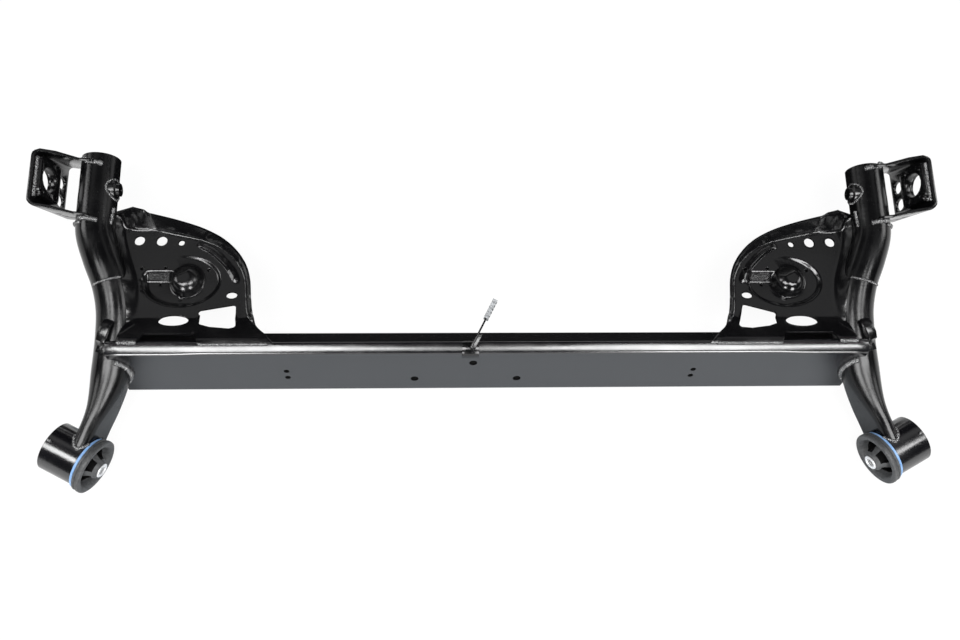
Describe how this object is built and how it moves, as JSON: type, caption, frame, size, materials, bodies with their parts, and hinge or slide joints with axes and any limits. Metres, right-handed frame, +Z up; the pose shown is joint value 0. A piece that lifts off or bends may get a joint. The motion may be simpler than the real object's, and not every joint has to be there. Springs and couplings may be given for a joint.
{
  "type": "rear axle",
  "caption": "Twist beam rear axle with bent tube arms, pressed spring pans, hub brackets and rubber bushes, which carries the rear wheels of a small car.",
  "frame": {"origin": "centre of the bounding box's bottom face", "axes": "+X to the right side of the car, +Y to the rear, +Z up"},
  "size_m": [1.306, 0.4884, 0.128],
  "materials": {
    "black_coat": "gloss black coat",
    "blue_shell": "matte",
    "rubber": "matte",
    "bare_steel": "turned",
    "clip_plastic": "satin"
  },
  "bodies": {
    "root": {"cross_beam": "black_coat", "guide_foot": "black_coat", "guide_strip": "black_coat", "guide_clip": "clip_plastic", "arm_rear_left": "black_coat", "arm_front_left": "black_coat", "hub_bracket_left": "black_coat", "hub_plate_left": "black_coat", "spring_pan_left": "black_coat", "shock_boss_left": "black_coat", "cable_hook_left": "black_coat", "bush_sleeve_left": "black_coat", "bush_shell_left": "blue_shell", "bush_rubber_left": "rubber", "bush_inner_sleeve_left": "bare_steel", "arm_rear_right": "black_coat", "arm_front_right": "black_coat", "hub_bracket_right": "black_coat", "hub_plate_right": "black_coat", "spring_pan_right": "black_coat", "shock_boss_right": "black_coat", "cable_hook_right": "black_coat", "bush_sleeve_right": "black_coat", "bush_shell_right": "blue_shell", "bush_rubber_right": "rubber", "bush_inner_sleeve_right": "bare_steel"}
  },
  "joints": []
}
